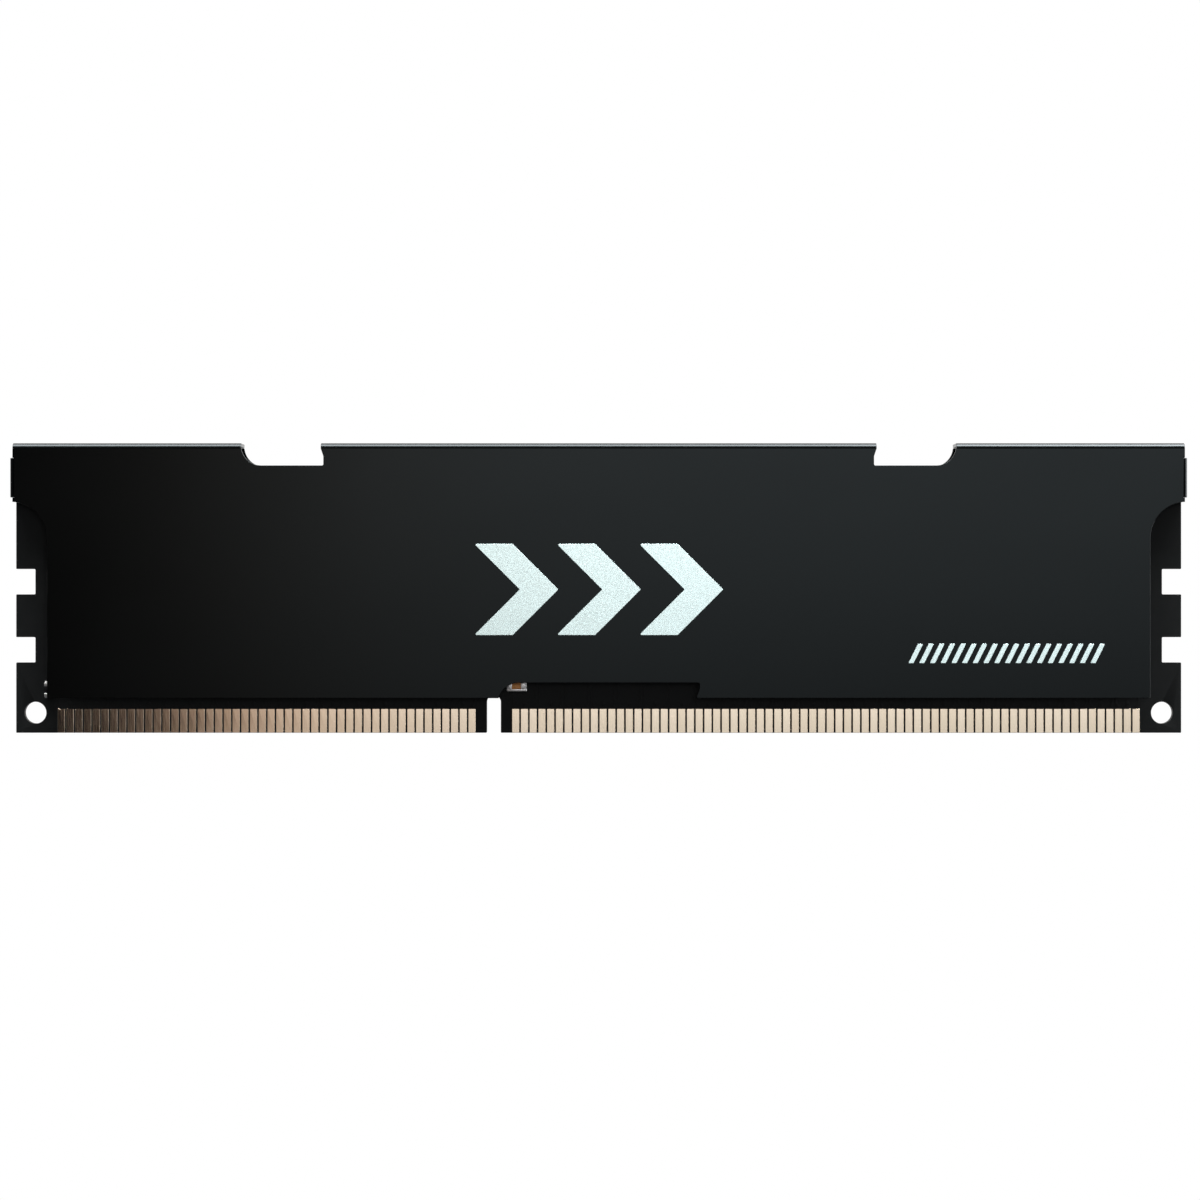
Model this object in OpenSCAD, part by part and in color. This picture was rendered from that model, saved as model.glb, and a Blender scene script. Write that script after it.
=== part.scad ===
// Desktop memory module: a 240-contact circuit board with memory packages on both
// faces, clasped between two folded aluminium heat spreader shells.
// Frame: X runs along the board, -Y is the front, +Z is up. The origin is the middle
// of the card edge, at its lowest line. Everything is in millimetres.

/* [Circuit board] */
// Length of the board
board_len = 133.35; // [133.2:0.05:133.5]
// Height of the board above the card edge
board_h = 30; // [29.85:0.05:30.2]
// Thickness of the board
board_t = 1.27; // [1.17:0.01:1.37]
// Width of the key notch between the two contact rows
key_w = 1.6; // [1.4:0.05:1.7]
// Depth of the key notch, to the top of its round end
key_depth = 4.3; // [3.8:0.05:4.5]
// Depth of the latch notches in the board's ends
latch_depth = 2.2; // [1.9:0.05:2.4]
// Height of each latch notch opening
latch_h = 2.9; // [2.5:0.05:3.1]
// Height of the lower latch notch's centre
latch_low_z = 9.5; // [9:0.1:10]
// Height of the upper latch notch's centre
latch_high_z = 17.3; // [17:0.1:17.6]
// Diameter of the tooling holes
hole_d = 2.5; // [2.4:0.05:2.6]
// Distance of a tooling hole's centre from the board's end
hole_inset = 2.2; // [2.1:0.05:2.5]
// Height of a tooling hole's centre
hole_z = 2.3; // [2.2:0.05:2.5]

/* [Edge contacts] */
// Distance between neighbouring contacts
contact_pitch = 1; // [0.95:0.01:1.02]
// Width of one contact
contact_w = 0.85; // [0.75:0.05:0.85]
// Height of one contact
contact_h = 2.75; // [2.5:0.05:2.9]
// Thickness of the plating over the laminate
contact_t = 0.05; // [0.03:0.01:0.08]
// Gap between the rows, from the last contact before the key to the first one after it
key_gap = 5; // [4.8:0.1:5.2]

/* [Memory packages] */
// Width of one package
chip_w = 9; // [8:0.1:10]
// Height of one package
chip_h = 10.5; // [10:0.1:11.5]
// Thickness of one package without its solder balls
chip_t = 0.8; // [0.7:0.05:0.9]
// Gap that the solder balls leave under a package
ball_gap = 0.3; // [0.25:0.01:0.35]
// Diameter of one solder ball
ball_d = 0.45; // [0.4:0.01:0.5]
// Distance between neighbouring solder balls
ball_pitch = 0.8; // [0.75:0.01:0.8]
// Distance between neighbouring packages
chip_pitch = 13.2; // [11:0.1:13.3]
// Distance of the innermost packages from the middle of the board
chip_first_x = 14.5; // [12:0.1:15]
// Height of the packages' centres
chip_z = 19.5; // [18:0.1:20]

/* [Thermal pads] */
// Thickness of a pad between packages and shell
pad_t = 0.3; // [0.2:0.05:0.6]
// Height of a pad
pad_h = 10; // [8:0.5:10.5]
// How far a pad runs past the outermost packages
pad_overhang = 0.9; // [0:0.1:1.5]

/* [Heat spreader] */
// Thickness of the aluminium sheet
sheet_t = 0.4; // [0.3:0.05:0.45]
// Outer radius of the fold along the top
fold_r = 0.8; // [0.5:0.05:1]
// Outer radius of the fold into an end tab
tab_fold_r = 0.5; // [0.45:0.05:0.6]
// Height of the shells' lower edge
shell_bottom = 4; // [3.8:0.1:4.1]
// Height of the top face
shell_top = 33.1; // [32.6:0.1:34]
// Half the width of the shells beside the latch notches
waist_half = 62.9; // [61:0.1:63]
// Half the width of the front shell at its shoulders
shoulder_half = 66.85; // [66.7:0.05:66.9]
// Radius of the sweep from shoulder to waist
shoulder_r = 4.2; // [3.9:0.1:4.4]
// Depth of the two notches in the top edge
top_notch_depth = 2.55; // [2.3:0.05:2.9]
// Height of the relief in the lower edge
relief_h = 1.75; // [1.5:0.05:2]
// Height of an end tab
tab_h = 4.5; // [4:0.1:4.8]
// Width of the slits that free an end tab from the shoulder
tab_slit_w = 0.1; // [0.1:0.05:0.3]
// Clearance between the end tabs and the board
tab_gap = 0.075; // [0.075:0.005:0.15]
// Clearance between the two shells
shell_gap = 0.05; // [0.03:0.01:0.07]

/* [Trim] */
// Thickness of the print and of the label
film_t = 0.05; // [0.03:0.01:0.1]
// Length of the label on the back
label_len = 70; // [40:1:74]
// Height of the label on the back
label_h = 16; // [10:1:20]

/* [Hidden] */
$fn = 48;
chips_per_face = 8;
short_row = 48;
long_row = 72;
end_sides = [-1, 1];

// The key notch lies midway between the last contact of the short row and the
// first of the long one, and both rows together are centred on the board.
rows_len = (short_row + long_row - 2) * contact_pitch + key_gap;
key_x = -rows_len / 2 + (short_row - 1) * contact_pitch + key_gap / 2;
short_row_x = -rows_len / 2;
long_row_x = key_x + key_gap / 2;

board_face = board_t / 2;
chip_face = board_face + ball_gap + chip_t;
shell_in = chip_face + pad_t;
shell_out = shell_in + sheet_t;
pad_len = 2 * (chip_first_x + (chips_per_face / 2 - 1) * chip_pitch + chip_w / 2 + pad_overhang);
tab_in = board_len / 2 + tab_gap;
tab_out = tab_in + sheet_t;
tab_z = 26.9;
tab_fold_x = tab_out - tab_fold_r;
THROUGH = 40;

// Ball grid of a package: two banks of three columns with a bare strip between.
ball_columns = [-4, -3, -2, 2, 3, 4];
ball_rows = [-6:6];

// Top notches, given for the +X side: a curved wall towards the board's end and a
// straight wall, undercut below its lip, towards the middle.
notch_floor = shell_top - top_notch_depth;
notch_wall_x = 31.4;
notch_lip_x = 31.7;
notch_lip_z = shell_top - 0.6;
notch_slope_z = shell_top - 1.5;
notch_round_x = 38.5;
notch_round_r = 2.3;

// Relief in the lower edge, beside the key notch: a round start and a hooked end.
relief_top = shell_bottom + relief_h;
relief_round_x = -9.1;
relief_round_r = 2.4;
relief_wall_x = 11.5;
relief_foot_x = 11.1;
relief_knee_z = relief_top - 0.65;
relief_capacitor_x = -9.4;
relief_capacitor_z = relief_top - 0.35;

// Fingers that rise from the back shell's top edge into slots in the front shell's flange.
finger_x = [-53.8, -18, 18, 53.8];
finger_w = 2.4;
finger_slot_w = finger_w + 2 * shell_gap;

// Chip components as [length, width, height].
size_0402 = [1, 0.5, 0.5];
size_0603 = [1.6, 0.8, 0.55];
size_0805 = [2, 1.25, 0.85];
array_size = [2, 1, 0.45];
array_spacing = 2.9;
array_z = 8.4;
eeprom_size = [3, 2, 0.55];

FRONT_CHIPS = [for (i = [1:chips_per_face]) str("dram_front_", i)];
BACK_CHIPS = [for (i = [1:chips_per_face]) str("dram_back_", i)];

// ---------- helpers ----------

// X of package number i, counted from 1 at the left end.
function chip_x(i) =
    let (rank = i <= chips_per_face / 2 ? chips_per_face / 2 - i : i - chips_per_face / 2 - 1)
    (i <= chips_per_face / 2 ? -1 : 1) * (chip_first_x + rank * chip_pitch);

// Lays a drawing of the X-Z plane into place and gives it depth along Y, between two planes.
module upright(y_from, y_to) {
    translate([0, y_to, 0])
        rotate([90, 0, 0])
            linear_extrude(height = y_to - y_from)
                children();
}

// Puts children that stand on the front face onto the face given by side: -1 front, 1 back.
module on_face(side) {
    if (side < 0) {
        children();
    } else {
        rotate([0, 0, 180]) children();
    }
}

// A rectangle from the origin whose corner at [0, h] has radius r.
module one_round_corner(w, h, r) {
    translate([r, 0]) square([w - r, h]);
    square([r, h - r]);
    translate([r, h - r]) circle(r);
}

// Cross-section of a sheet folded to radius r: a wall h tall on the left and a flange w deep on top.
module fold_section(w, h, r) {
    difference() {
        one_round_corner(w, h, r);
        translate([sheet_t, -1]) one_round_corner(w, h - sheet_t + 1, r - sheet_t);
    }
}

// A chip component on the front face, its length along X, with end caps a little proud of its body.
module chip_component(size) {
    cap = size[0] / 4;
    skin = 0.03;
    translate([-size[0] / 2, -board_face - size[2], -size[1] / 2]) {
        cube([cap, size[2], size[1]]);
        translate([size[0] - cap, 0, 0]) cube([cap, size[2], size[1]]);
        translate([cap / 2, skin, skin])
            cube([size[0] - cap, size[2] - 2 * skin, size[1] - 2 * skin]);
    }
}

// Four resistors in one ceramic block on the front face, with four terminals along each long edge.
module resistor_array(size) {
    terminals = 4;
    terminal_w = size[0] / terminals * 0.6;
    terminal_d = 0.22;
    translate([0, -board_face - size[2], 0]) {
        translate([-size[0] / 2, 0, -size[1] / 2 + terminal_d / 2])
            cube([size[0], size[2], size[1] - terminal_d]);
        for (i = [0:terminals - 1], edge = [-1, 1]) {
            x = (i - (terminals - 1) / 2) * size[0] / terminals;
            translate([x - terminal_w / 2, 0, edge * (size[1] - terminal_d) / 2 - terminal_d / 2])
                cube([terminal_w, size[2], terminal_d]);
        }
    }
}

// ---------- board ----------

module circuit_board() {
    color([0.05, 0.06, 0.06])
        difference() {
            upright(-board_face, board_face) board_outline();
            for (end = end_sides)
                translate([end * (board_len / 2 - hole_inset), 0, hole_z])
                    rotate([90, 0, 0])
                        cylinder(d = hole_d, h = THROUGH, center = true);
        }
}

module board_outline() {
    difference() {
        translate([-board_len / 2, 0]) square([board_len, board_h]);
        key_notch();
        for (end = end_sides, z = [latch_low_z, latch_high_z])
            translate([end * board_len / 2, z])
                square([2 * latch_depth, latch_h], center = true);
    }
}

module key_notch() {
    translate([key_x - key_w / 2, -1]) square([key_w, key_depth - key_w / 2 + 1]);
    translate([key_x, key_depth - key_w / 2]) circle(d = key_w);
}

// One row of plated contacts. from_x is the centre of the first one, towards +X.
module contact_row(side, from_x, count) {
    color([0.85, 0.68, 0.42])
        for (i = [0:count - 1])
            translate([
                from_x + i * contact_pitch - contact_w / 2,
                side < 0 ? -board_face - contact_t : board_face,
                0
            ])
                cube([contact_w, contact_t, contact_h]);
}

// ---------- components on the board ----------

module dram_package(side, i) {
    color([0.1, 0.1, 0.11])
        translate([
            chip_x(i) - chip_w / 2,
            side < 0 ? -chip_face : board_face + ball_gap,
            chip_z - chip_h / 2
        ])
            cube([chip_w, chip_t, chip_h]);
}

// Balls squeezed flat between package and board, so each is a short post along Y.
module solder_balls(side) {
    color([0.75, 0.76, 0.78])
        for (chip = [1:chips_per_face], column = ball_columns, row = ball_rows)
            translate([
                chip_x(chip) + column * ball_pitch,
                side * (board_face + ball_gap / 2),
                chip_z + row * ball_pitch
            ])
                rotate([90, 0, 0])
                    cylinder(d = ball_d, h = ball_gap, center = true);
}

// Four small capacitors round each package: two beside it and two above it.
module chip_capacitors(side) {
    color([0.72, 0.58, 0.42])
        for (chip = [1:chips_per_face])
            on_face(side) {
                for (z = [16.5, 22.5])
                    translate([chip_x(chip) + chip_w / 2 + 1.2, 0, z])
                        rotate([0, 90, 0])
                            chip_component(size_0402);
                for (dx = [-2.2, 2.2])
                    translate([chip_x(chip) + dx, 0, chip_z + chip_h / 2 + 1.4])
                        chip_component(size_0402);
            }
}

// Three series resistor arrays below each package, between it and the contacts.
module resistor_arrays(side) {
    color([0.13, 0.13, 0.14])
        for (chip = [1:chips_per_face], k = [-1:1])
            on_face(side)
                translate([chip_x(chip) + k * array_spacing, 0, array_z])
                    resistor_array(array_size);
}

// Arrays that end the address and command lines, stacked at the right end of the front face.
module termination_arrays() {
    color([0.13, 0.13, 0.14])
        for (i = [0:4])
            translate([61.3, 0, 12.5 + i * array_spacing])
                rotate([0, 90, 0])
                    resistor_array(array_size);
}

// Larger supply capacitors at the middle of the front face. The lowest one looks out of the relief.
module bulk_capacitors() {
    color([0.72, 0.48, 0.28]) {
        translate([relief_capacitor_x, 0, relief_capacitor_z]) chip_component(size_0805);
        for (x = [-6, 6], z = [15, 19, 23])
            translate([x, 0, z]) chip_component(size_0805);
    }
}

// A single resistor at the left end of the front face, partly under the shell's edge.
module end_resistor() {
    color([0.13, 0.13, 0.14])
        translate([-waist_half - 0.1, 0, 4.95])
            rotate([0, 90, 0])
                chip_component(size_0603);
}

module serial_eeprom() {
    color([0.1, 0.1, 0.11])
        translate([-eeprom_size[0] / 2, -board_face - eeprom_size[2], 9.5])
            cube([eeprom_size[0], eeprom_size[2], eeprom_size[1]]);
}

// ---------- cooling ----------

module thermal_pad(side) {
    color([0.55, 0.58, 0.62])
        translate([-pad_len / 2, side < 0 ? -shell_in : chip_face, chip_z - pad_h / 2])
            cube([pad_len, pad_t, pad_h]);
}

// Face outline that both shells share, drawn from below the lower edge to past the top.
module shell_outline(half_width, top) {
    difference() {
        translate([-half_width, shell_bottom]) square([2 * half_width, top - shell_bottom]);
        for (end = end_sides)
            mirror([end < 0 ? 1 : 0, 0]) {
                waist_cut();
                top_notch();
            }
        lower_relief();
    }
}

module waist_cut() {
    sweep_z = tab_z - 0.5 - shoulder_r;
    translate([waist_half, 0]) square([THROUGH, sweep_z]);
    translate([waist_half + shoulder_r, sweep_z]) circle(shoulder_r);
}

module top_notch() {
    round_z = notch_floor + notch_round_r;
    translate([notch_round_x, round_z]) circle(notch_round_r);
    translate([notch_round_x, round_z]) square([notch_round_r, THROUGH]);
    polygon([
        [notch_round_x, notch_floor],
        [notch_wall_x, notch_floor],
        [notch_wall_x, notch_slope_z],
        [notch_lip_x, notch_lip_z],
        [notch_lip_x, shell_top + 1],
        [notch_round_x, shell_top + 1]
    ]);
}

module lower_relief() {
    translate([relief_round_x, relief_top - relief_round_r]) circle(relief_round_r);
    polygon([
        [relief_round_x, relief_top],
        [relief_wall_x, relief_top],
        [relief_wall_x, relief_knee_z],
        [relief_foot_x, shell_bottom],
        [relief_foot_x, shell_bottom - 1],
        [relief_round_x, shell_bottom - 1]
    ]);
}

// Front shell: the face, a flange folded over the top in three stretches, and a tab round each end.
module heat_spreader_front() {
    color([0.08, 0.09, 0.09]) {
        difference() {
            intersection() {
                translate([-shoulder_half, -shell_out, 0])
                    rotate([90, 0, 90])
                        linear_extrude(height = 2 * shoulder_half)
                            fold_section(2 * shell_out, shell_top, fold_r);
                upright(-THROUGH, THROUGH) shell_outline(shoulder_half, shell_top);
            }
            for (x = finger_x)
                translate([x - finger_slot_w / 2, shell_in - shell_gap, shell_top - 2 * sheet_t])
                    cube([finger_slot_w, THROUGH, 3 * sheet_t]);
            for (end = end_sides)
                mirror([end < 0 ? 1 : 0, 0, 0]) tab_slits();
        }
        for (end = end_sides)
            mirror([end < 0 ? 1 : 0, 0, 0]) end_tab();
    }
}

module tab_slits() {
    for (z = [tab_z - tab_slit_w, tab_z + tab_h])
        translate([tab_fold_x, -THROUGH, z])
            cube([THROUGH, THROUGH, tab_slit_w]);
}

// The tab round the +X end: it grows out of the shoulder and is folded back past the rear shell.
module end_tab() {
    translate([waist_half, -shell_out, tab_z])
        mirror([1, 0, 0])
            rotate([0, 0, 90])
                linear_extrude(height = tab_h)
                    fold_section(2 * shell_out, tab_out - waist_half, tab_fold_r);
}

// Back shell: a flat face under the front shell's flange, with fingers that rise through its slots.
module heat_spreader_back() {
    under_flange = shell_top - sheet_t - shell_gap / 2;
    color([0.08, 0.09, 0.09])
        upright(shell_in, shell_out) {
            shell_outline(tab_in - shell_gap, under_flange);
            for (x = finger_x)
                translate([x - finger_w / 2, under_flange - sheet_t])
                    square([finger_w, shell_top - under_flange + sheet_t]);
        }
}

// ---------- trim ----------

// Three chevrons of pale print in the middle of the front face.
module front_emblem() {
    chevrons = 3;
    arm = 5.2;
    stroke = 4.4;
    spacing = 9.4;
    center_z = 16.4;
    full_w = (chevrons - 1) * spacing + stroke + arm;
    color([0.86, 0.94, 0.94])
        upright(-shell_out - film_t, -shell_out)
            for (i = [0:chevrons - 1])
                translate([i * spacing - full_w / 2, center_z])
                    polygon([
                        [0, arm],
                        [stroke, arm],
                        [stroke + arm, 0],
                        [stroke, -arm],
                        [0, -arm],
                        [arm, 0]
                    ]);
}

// A short row of slanted strokes of the same print, low on the right of the front face.
module front_hatching() {
    strokes = 18;
    stroke_w = 0.6;
    stroke_h = 2.2;
    slant = 1.1;
    spacing = 1.22;
    color([0.86, 0.94, 0.94])
        upright(-shell_out - film_t, -shell_out)
            for (i = [0:strokes - 1])
                translate([35.3 + i * spacing, 8])
                    polygon([[0, 0], [stroke_w, 0], [stroke_w + slant, stroke_h], [slant, stroke_h]]);
}

module back_label() {
    corner = 1;
    color([0.9, 0.9, 0.88])
        upright(shell_out, shell_out + film_t) {
            translate([-label_len / 2 + corner, chip_z - 1 - label_h / 2])
                square([label_len - 2 * corner, label_h]);
            translate([-label_len / 2, chip_z - 1 - label_h / 2 + corner])
                square([label_len, label_h - 2 * corner]);
            for (x = [-1, 1], z = [-1, 1])
                translate([x * (label_len / 2 - corner), chip_z - 1 + z * (label_h / 2 - corner)])
                    circle(corner);
        }
}

// ---------- nodes ----------

circuit_board();
contact_row(-1, short_row_x, short_row);  // contacts_front_short_row
contact_row(-1, long_row_x, long_row);  // contacts_front_long_row
contact_row(1, short_row_x, short_row);  // contacts_back_short_row
contact_row(1, long_row_x, long_row);  // contacts_back_long_row
for (i = [1:chips_per_face]) dram_package(-1, i);
for (i = [1:chips_per_face]) dram_package(1, i);
solder_balls(-1);  // solder_balls_front
solder_balls(1);  // solder_balls_back
chip_capacitors(-1);  // chip_capacitors_front
chip_capacitors(1);  // chip_capacitors_back
resistor_arrays(-1);  // resistor_arrays_front
resistor_arrays(1);  // resistor_arrays_back
termination_arrays();
bulk_capacitors();
end_resistor();
serial_eeprom();
thermal_pad(-1);  // thermal_pad_front
thermal_pad(1);  // thermal_pad_back
heat_spreader_front();
heat_spreader_back();
front_emblem();
front_hatching();
back_label();
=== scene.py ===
"""Looks of the memory module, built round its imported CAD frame.

Outlines are drawn in millimetres, X along the board and Z up, and every mesh is
scaled to metres when it becomes a piece. The front of the module faces -Y.
"""

from math import acos, asin, atan2, ceil, copysign, cos, pi, radians, sin, tan

import bmesh
import bpy
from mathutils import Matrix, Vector
from mathutils.geometry import tessellate_polygon

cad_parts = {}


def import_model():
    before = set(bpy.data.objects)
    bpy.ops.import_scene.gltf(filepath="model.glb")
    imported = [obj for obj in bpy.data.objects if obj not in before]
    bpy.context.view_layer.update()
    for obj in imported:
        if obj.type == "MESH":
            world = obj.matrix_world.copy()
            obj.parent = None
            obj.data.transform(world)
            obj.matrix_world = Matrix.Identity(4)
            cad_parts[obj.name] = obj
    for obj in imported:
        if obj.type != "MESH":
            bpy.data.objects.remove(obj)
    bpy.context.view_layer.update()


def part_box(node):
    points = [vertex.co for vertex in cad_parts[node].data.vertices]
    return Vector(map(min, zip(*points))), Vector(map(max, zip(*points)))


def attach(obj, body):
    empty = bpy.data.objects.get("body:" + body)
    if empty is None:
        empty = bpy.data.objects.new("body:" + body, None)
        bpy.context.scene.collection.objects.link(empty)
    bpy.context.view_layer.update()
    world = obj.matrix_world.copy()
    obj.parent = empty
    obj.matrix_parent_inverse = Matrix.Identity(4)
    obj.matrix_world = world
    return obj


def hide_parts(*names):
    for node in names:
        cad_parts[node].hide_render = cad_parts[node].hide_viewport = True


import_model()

MM = 0.001
SMOOTH = 0.002  # how far a drawn arc may stray from the true one
EDGE_STEPS = 3  # facets across a rounded edge
FOLD_STEPS = 12  # facets round a fold of the sheet
SHARP_ANGLE = radians(40)  # edges that turn by more than this aren't shaded smooth


# ---------- sizes from the frame ----------


def box_mm(node):
    """The low and high corners of a node's box, in millimetres."""
    low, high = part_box(node)
    return low / MM, high / MM


board_high = box_mm("circuit_board")[1]
BOARD_HALF = board_high.x
BOARD_TOP = board_high.z
BOARD_FACE = board_high.y

back_low, back_high = box_mm("heat_spreader_back")
SHELL_IN = back_low.y
SHELL_OUT = back_high.y
SHEET = SHELL_OUT - SHELL_IN
BACK_HALF = back_high.x
FINGER_TOP = back_high.z

front_low, front_high = box_mm("heat_spreader_front")
SHELL_BOTTOM = front_low.z
SHELL_TOP = front_high.z
TAB_OUT = front_high.x

# ---------- sizes shared with the CAD source ----------

KEY_X = -12.0
KEY_W = 1.6
KEY_DEPTH = 4.3
LATCH_Z = (9.5, 17.3)
LATCH_H = 2.9
LATCH_DEPTH = 2.2
HOLE_R = 1.25
HOLE_INSET = 2.2
HOLE_Z = 2.3

CONTACT_W = 0.85
ROWS = {"short_row": 48, "long_row": 72}  # contacts in each row of one face

CHIPS_PER_FACE = 8
BALL_PITCH = 0.8
BALL_COLUMNS = (-4, -3, -2, 2, 3, 4)
BALL_ROWS = range(-6, 7)

# small parts: length, width and height
SMALL_CAPACITOR = (1.0, 0.5, 0.5)
LARGE_CAPACITOR = (2.0, 1.25, 0.85)
END_RESISTOR = (1.6, 0.8, 0.55)
END_RESISTOR_Z = 4.95
ARRAY = (2.0, 1.0, 0.45)
ARRAY_TERMINALS = 4
ARRAY_TERMINAL_REACH = 0.22
ARRAY_PITCH = 2.9
ARRAY_ROW_Z = 8.4
TERMINATION_ARRAYS = 5
TERMINATION_X = 61.3
TERMINATION_Z = 12.5
SUPPLY_CAPACITORS = [(x, z) for x in (-6, 6) for z in (15, 19, 23)]
RELIEF_CAPACITOR_X = -9.4

SHEET_EDGE = 0.06  # how far the pressed sheet's outer edges are rounded
FOLD_R = 0.8
FOLD_Z = SHELL_TOP - FOLD_R
FLANGE_DEPTH = 2 * SHELL_OUT
SHOULDER = 66.85
WAIST = 62.9
SWEEP_R = 4.2
SWEEP_Z = 22.2
TAB_Z = 26.9
TAB_TOP = TAB_Z + 4.5
TAB_SLIT = 0.02  # narrower than in the CAD source, so that no light shows through
TAB_FOLD_R = 0.5
TAB_FOLD_X = TAB_OUT - TAB_FOLD_R

NOTCH_FLOOR = SHELL_TOP - 2.55
NOTCH_OUTER = 40.8
NOTCH_R = 2.3
NOTCH_WALL = 31.4
NOTCH_LIP = 31.7

RELIEF_TOP = SHELL_BOTTOM + 1.75
RELIEF_R = 2.4
RELIEF_ROUND_X = -9.1
RELIEF_WALL_X = 11.5
RELIEF_FOOT_X = 11.1

FINGERS_X = (-53.8, -18.0, 18.0, 53.8)
FINGER_W = 2.4
SHELL_GAP = 0.05
UNDER_FLANGE = SHELL_TOP - SHEET - SHELL_GAP / 2


# ---------- drawing outlines ----------


def steps_for(radius, sweep):
    return max(3, ceil(abs(sweep) / (2 * acos(1 - min(SMOOTH / radius, 1)))))


def arc(centre_x, centre_z, radius, start, end):
    """Points along an arc, from one angle to another, in radians from +X towards +Z."""
    steps = steps_for(radius, end - start)
    angles = [start + (end - start) * i / steps for i in range(steps + 1)]
    return [(centre_x + radius * cos(a), centre_z + radius * sin(a)) for a in angles]


def outline(corners):
    """A closed loop through corners given as (x, z) or, to round one off, (x, z, radius)."""
    loop = []
    for i, corner in enumerate(corners):
        here = Vector(corner[:2])
        if len(corner) == 2:
            loop.append(here)
            continue
        radius = corner[2]
        before = (Vector(corners[i - 1][:2]) - here).normalized()
        after = (Vector(corners[(i + 1) % len(corners)][:2]) - here).normalized()
        half = before.angle(after) / 2
        centre = here + (before + after).normalized() * radius / sin(half)
        first = here + before * radius / tan(half) - centre
        last = here + after * radius / tan(half) - centre
        start = atan2(first.y, first.x)
        sweep = (atan2(last.y, last.x) - start + pi) % (2 * pi) - pi
        loop += [Vector(p) for p in arc(*centre, radius, start, start + sweep)]
    return loop


def rectangle(low_x, low_z, high_x, high_z, radius):
    return outline(
        [
            (low_x, low_z, radius),
            (high_x, low_z, radius),
            (high_x, high_z, radius),
            (low_x, high_z, radius),
        ]
    )


def mirrored(corners):
    """The corners reflected in X and reversed, so that an outline can go on through them."""
    return [(-c[0], *c[1:]) for c in reversed(corners)]


def hole(centre_x, centre_z, radius):
    """A loop that runs the other way round an outline, so the material stays on its left."""
    return [Vector(p) for p in arc(centre_x, centre_z, radius, 2 * pi, 0)[:-1]]


def disc(centre_x, centre_z, radius):
    return hole(centre_x, centre_z, radius)[::-1]


def track(points, width):
    """The outline of a strip of one width along an open line of points."""
    line = [Vector(p) for p in points]
    left, right = [], []
    for i, here in enumerate(line):
        along_in = (here - line[max(i - 1, 0)]) if i else (line[1] - here)
        along_out = (line[i + 1] - here) if i + 1 < len(line) else along_in
        side_in = Vector((-along_in.y, along_in.x)).normalized()
        side_out = Vector((-along_out.y, along_out.x)).normalized()
        middle = (side_in + side_out).normalized()
        offset = middle * (width / 2) / middle.dot(side_in)
        left.append(here + offset)
        right.append(here - offset)
    return right + left[::-1]


def inset(loop, distance):
    """The loop moved into the material, which lies on its left."""
    moved = []
    for i, here in enumerate(loop):
        along_in = (here - loop[i - 1]).normalized()
        along_out = (loop[(i + 1) % len(loop)] - here).normalized()
        left_in = Vector((-along_in.y, along_in.x))
        left_out = Vector((-along_out.y, along_out.x))
        middle = (left_in + left_out).normalized()
        moved.append(here + middle * distance / middle.dot(left_in))
    return moved


# ---------- making solids ----------


def rounded_edge(radius, face, inward):
    """(inset, y) of the rings of a rounded edge, from the flat face round to the wall."""
    if not radius:
        return [(0, face)]
    turns = [pi / 2 * i / EDGE_STEPS for i in range(EDGE_STEPS + 1)]
    return [(radius * (1 - sin(t)), face + inward * radius * (1 - cos(t))) for t in turns]


def add_plate(bm, loops, near, far, near_edge=0, far_edge=0, face_material=0, wall_material=0):
    """Adds a plate between two Y planes, whose edges may be rounded.

    loops holds its outline, then its holes. The wall between the edges may have its own material.
    """
    inward = copysign(1, far - near)
    rings = rounded_edge(near_edge, near, inward) + rounded_edge(far_edge, far, -inward)[::-1]
    wall = EDGE_STEPS + 1 if near_edge else 1  # which step from ring to ring is the wall
    made = []
    for loop in loops:
        made.append([[bm.verts.new((p.x, y, p.y)) for p in inset(loop, i)] for i, y in rings])
        for step, (ring, following) in enumerate(zip(made[-1], made[-1][1:]), start=1):
            material = wall_material if step == wall else face_material
            for i in range(len(loop)):
                quad = (ring[i - 1], ring[i], following[i], following[i - 1])
                bm.faces.new(quad).material_index = material
    for end in (0, -1):
        cap = [rings_of_loop[end] for rings_of_loop in made]
        if len(cap) == 1:
            bm.faces.new(cap[0]).material_index = face_material
            continue
        verts = [v for ring in cap for v in ring]
        for triangle in tessellate_polygon([[v.co for v in ring] for ring in cap]):
            bm.faces.new([verts[i] for i in triangle]).material_index = face_material


def finished(name, bm, materials, stands_for=()):
    """Turns bm into a piece of the object that rides on the root body."""
    bmesh.ops.recalc_face_normals(bm, faces=bm.faces)
    bmesh.ops.scale(bm, vec=(MM, MM, MM), verts=bm.verts)
    mesh = bpy.data.meshes.new(name)
    bm.to_mesh(mesh)
    bm.free()
    mesh.shade_smooth()
    mesh.set_sharp_from_angle(angle=SHARP_ANGLE)
    for material in materials:
        mesh.materials.append(material)
    piece = bpy.data.objects.new(name, mesh)
    bpy.context.scene.collection.objects.link(piece)
    normals = piece.modifiers.new("weighted normals", "WEIGHTED_NORMAL")
    normals.keep_sharp = True
    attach(piece, "root")
    if stands_for:
        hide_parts(*stands_for)


# ---------- materials ----------


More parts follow.
